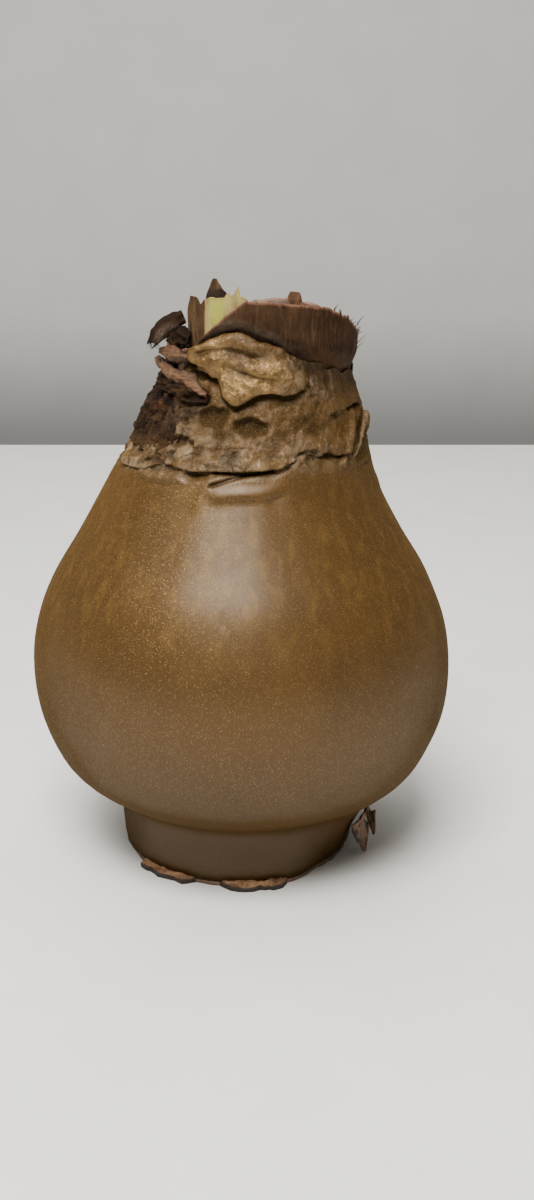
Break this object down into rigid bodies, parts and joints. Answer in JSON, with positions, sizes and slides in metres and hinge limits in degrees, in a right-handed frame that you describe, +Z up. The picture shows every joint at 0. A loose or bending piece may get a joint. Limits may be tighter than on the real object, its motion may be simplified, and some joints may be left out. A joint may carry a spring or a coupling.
{
  "type": "waxed amaryllis bulb",
  "caption": "Pear-shaped flower bulb in a shell of bronze wax, its cut neck ringed by dry torn skins, standing on its own flat root plate.",
  "frame": {"origin": "centre of the overall box on the surface that the bulb stands on", "axes": "+Z up through the neck, -Y towards the side shown as the front, +X to the right"},
  "size_m": [0.0963, 0.0962, 0.1316],
  "materials": {
    "bronze_wax": "bronze wax with fine gold glitter, satin, dipped by hand",
    "bulb_flesh": "cut bulb scales in rings, corky brown root plate underneath",
    "dry_skin": "dark dry papery skin with fine upright fibres",
    "fresh_scale": "moist yellow-green scale with a cream fibrous side",
    "brown_scale": "dry brown scale, ribbed and split",
    "black_scale": "crumpled blackened skin, partly waxed",
    "pink_scale": "pinkish tan torn scale",
    "root_bark": "orange-brown ragged bark of the root plate"
  },
  "bodies": {
    "root": {"wax_coat": "bronze_wax", "bulb": "bulb_flesh", "dry_skin_front": "dry_skin", "dry_skin_back": "dry_skin", "green_scale": "fresh_scale", "brown_tab": "brown_scale", "dry_tip": "brown_scale", "crumpled_skin_left": "black_scale", "curled_flap": "dry_skin", "pink_strip": "pink_scale", "black_shred": "black_scale", "loose_flap_right": "bronze_wax", "root_flake_left": "root_bark", "root_flake_front": "root_bark", "root_flap_right": "root_bark", "root_strip_right": "root_bark"}
  },
  "joints": []
}
